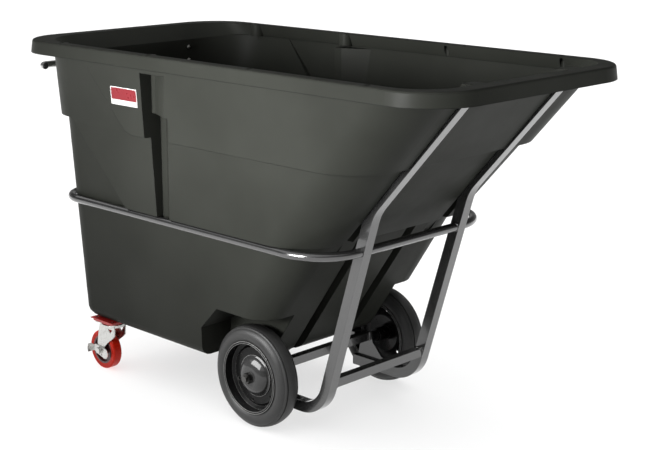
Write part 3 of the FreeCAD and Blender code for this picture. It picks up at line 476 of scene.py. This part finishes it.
# ---- rolled edges of the pressed wheels ---------------------------------------------------------
# painted highlight: the rolled lips wear an enamel about twenty times lighter than the wheel's,
# standing in for the bright rings light draws along them
EDGE_FINISH = paint_finish("painted_highlight_edge", (0.11, 0.11, 0.108), rough=0.22, spec=0.5,
                           coat=0.3, edge_wear_and_highlight=0.5)
LIP_STEPS = 112               # steps round a rolled lip
RIM_LIP = (0.0016, 0.0009)    # how far inside the disc's or cap's edge, and the wire's radius
RIM_STEP = (0.0070, 0.0007)
CAP_LIP = (0.0004, 0.0010)
CAP_LIP_OUT = 0.0016          # how far the cap's lip stands off its flange


def rolled_edge(name, body, centre, radius, wire):
    """A thin ring about a Y axis: the rolled lip of a pressed steel part."""
    verts, faces = [], []
    for i in range(LIP_STEPS):
        a = 2.0 * math.pi * i / LIP_STEPS
        for k in range(RING_SIDES):
            t = 2.0 * math.pi * k / RING_SIDES
            r = radius + wire * math.cos(t)
            verts.append(centre + Vector((r * math.cos(a), wire * math.sin(t), r * math.sin(a))))
    for i in range(LIP_STEPS):
        a, b = i * RING_SIDES, ((i + 1) % LIP_STEPS) * RING_SIDES
        faces += [(a + k, b + k, b + (k + 1) % RING_SIDES, a + (k + 1) % RING_SIDES)
                  for k in range(RING_SIDES)]
    piece = solid_from(name, verts, faces, EDGE_FINISH)
    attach(piece, body)


def make_rolled_edges():
    for tag, side in SIDES:
        wheel = tag + "_wheel"
        disc, disc_half = centre_of(tag + "_wheel_disc")
        cap_low, cap_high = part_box(tag + "_hub_cap")
        flange = cap_high.y if side < 0.0 else cap_low.y
        cap_radius = (cap_high.x - cap_low.x) / 2.0
        for face, offset in (("outer", disc_half.y), ("inner", -disc_half.y)):
            centre = Vector((disc.x, disc.y + side * offset, disc.z))
            for kind, (inset, wire) in (("edge", RIM_LIP), ("step", RIM_STEP)):
                name = "rim_%s_%s_%s" % (kind, face, tag)
                rolled_edge(name, wheel, centre, disc_half.x - inset, wire)
        lip = Vector((disc.x, flange + side * CAP_LIP_OUT, disc.z))
        inset, wire = CAP_LIP
        rolled_edge("cap_lip_" + tag, wheel, lip, cap_radius - inset, wire)


make_rolled_edges()


# ---- studio ----------------------------------------------------------------------------------
FLOOR_REACH = 60.0
FLOOR_LEVEL = -0.0004         # just under the wheels, so that no face lies in another
SUN_PLACE, SUN_TARGET = (0.0, 0.0, 5.0), (0.1, 0.9, 0.0)
BAND_TOP, CEILING_START = 0.16, 0.36      # heights of the world's pale band, as view direction Z
LENS, SENSOR = 76.29, 36.0
CAMERA_PLACE = (2.8639, -2.8193, 1.5442)
CAMERA_AZIMUTH, CAMERA_ELEVATION = 44.55, 14.04
CAMERA_REACH = 300.0


def make_floor():
    mesh = bpy.data.meshes.new("studio_floor")
    corners = [(-FLOOR_REACH, -FLOOR_REACH, FLOOR_LEVEL), (FLOOR_REACH, -FLOOR_REACH, FLOOR_LEVEL),
               (FLOOR_REACH, FLOOR_REACH, FLOOR_LEVEL), (-FLOOR_REACH, FLOOR_REACH, FLOOR_LEVEL)]
    mesh.from_pydata(corners, [], [(0, 1, 2, 3)])
    floor = bpy.data.objects.new("studio_floor", mesh)
    bpy.context.scene.collection.objects.link(floor)
    mesh.materials.append(floor_finish())
    return floor


def aim(obj, place, target):
    obj.location = place
    obj.rotation_mode = "QUATERNION"
    obj.rotation_quaternion = (Vector(target) - Vector(place)).to_track_quat("-Z", "Y")


def collection_of(name, pieces):
    group = bpy.data.collections.new(name)
    for piece in pieces:
        group.objects.link(piece)
    return group


def softbox(name, place, target, width, height, power, spread, pieces, mirrored=True):
    """A soft panel light that reaches only the given pieces, as if flagged off the rest."""
    data = bpy.data.lights.new(name, "AREA")
    data.shape = "RECTANGLE"
    data.size = width
    data.size_y = height
    data.energy = power
    data.spread = math.radians(spread)
    light = bpy.data.objects.new(name, data)
    bpy.context.scene.collection.objects.link(light)
    light.visible_camera = False
    light.visible_glossy = mirrored
    light.light_linking.receiver_collection = collection_of("lit_by_" + name, pieces)
    aim(light, place, target)


def overhead_sun(name, strength, spread):
    """A sun from above, as wide in the sky as its spread in degrees."""
    data = bpy.data.lights.new(name, "SUN")
    data.energy = strength
    data.angle = math.radians(spread)
    light = bpy.data.objects.new(name, data)
    bpy.context.scene.collection.objects.link(light)
    aim(light, SUN_PLACE, SUN_TARGET)
    return light


def floor_wash(floor, strength):
    """A sun that only the floor receives and nothing shades, so that shadows stay faint."""
    wash = overhead_sun("floor_wash", strength, spread=5.0)
    only_floor = collection_of("lit_by_wash", [floor])
    wash.light_linking.receiver_collection = only_floor
    wash.light_linking.blocker_collection = only_floor


def make_world(low_tone, high_tone):
    """A white backdrop; by light it is a low pale band above the floor and a dim ceiling over it."""
    world = bpy.data.worlds.new("studio")
    world.use_nodes = True
    nodes, links = world.node_tree.nodes, world.node_tree.links
    direction = nodes.new("ShaderNodeTexCoord")
    split = nodes.new("ShaderNodeSeparateXYZ")
    height = nodes.new("ShaderNodeMapRange")
    links.new(direction.outputs["Generated"], split.inputs[0])
    links.new(split.outputs["Z"], height.inputs["Value"])
    for key, value in (("From Min", BAND_TOP), ("From Max", CEILING_START),
                       ("To Min", low_tone), ("To Max", high_tone)):
        height.inputs[key].default_value = value
    seen = nodes.new("ShaderNodeLightPath")
    strength = nodes.new("ShaderNodeMath")
    strength.operation = "MAXIMUM"
    links.new(height.outputs[0], strength.inputs[0])
    links.new(seen.outputs["Is Camera Ray"], strength.inputs[1])
    nodes["Background"].inputs["Color"].default_value = (1.0, 1.0, 1.0, 1.0)
    links.new(strength.outputs[0], nodes["Background"].inputs["Strength"])
    bpy.context.scene.world = world


def make_camera():
    data = bpy.data.cameras.new("view")
    data.sensor_width = SENSOR
    data.lens = LENS
    data.clip_end = CAMERA_REACH
    camera = bpy.data.objects.new("view", data)
    bpy.context.scene.collection.objects.link(camera)
    azimuth, elevation = math.radians(CAMERA_AZIMUTH), math.radians(CAMERA_ELEVATION)
    place = Vector(CAMERA_PLACE)
    back = Vector((math.sin(azimuth) * math.cos(elevation),
                   -math.cos(azimuth) * math.cos(elevation),
                   math.sin(elevation)))
    aim(camera, place, place - back)
    bpy.context.scene.camera = camera


bpy.context.scene.view_settings.view_transform = "Standard"
meshes = [piece for piece in bpy.context.scene.objects if piece.type == "MESH"]
wheel_words = ("_tyre", "_wheel_", "_hub_cap", "axle_nuts", "rim_edge", "rim_step", "cap_lip")
main_wheels = [piece for piece in meshes if any(word in piece.name for word in wheel_words)]
all_but_wheels = [piece for piece in meshes if piece not in main_wheels]
floor = make_floor()
make_world(low_tone=0.22, high_tone=0.06)
floor_wash(floor, strength=2.5)
overhead_sun("overhead", strength=1.8, spread=110.0)
softbox("key", place=(0.15, -2.8, 1.25), target=(0.20, -0.40, 1.04),
        width=1.4, height=0.8, power=29.0, spread=46.0, pieces=all_but_wheels)
softbox("card", place=(-0.30, -1.8, 1.75), target=(0.08, -0.30, 0.20),
        width=2.3, height=1.5, power=92.0, spread=150.0, pieces=main_wheels)
softbox("far_fill", place=(-0.3, 2.9, 1.2), target=(0.0, 0.4, 0.75),
        width=1.6, height=1.1, power=66.0, spread=100.0, pieces=meshes, mirrored=False)
softbox("back_fill", place=(-3.1, 0.3, 1.2), target=(-0.8, 0.0, 0.72),
        width=1.4, height=1.1, power=38.0, spread=80.0, pieces=meshes, mirrored=False)
softbox("front_fill", place=(3.2, 0.9, 0.9), target=(0.5, 0.0, 0.6),
        width=1.0, height=0.8, power=6.0, spread=80.0, pieces=meshes, mirrored=False)
make_camera()

bpy.context.view_layer.update()
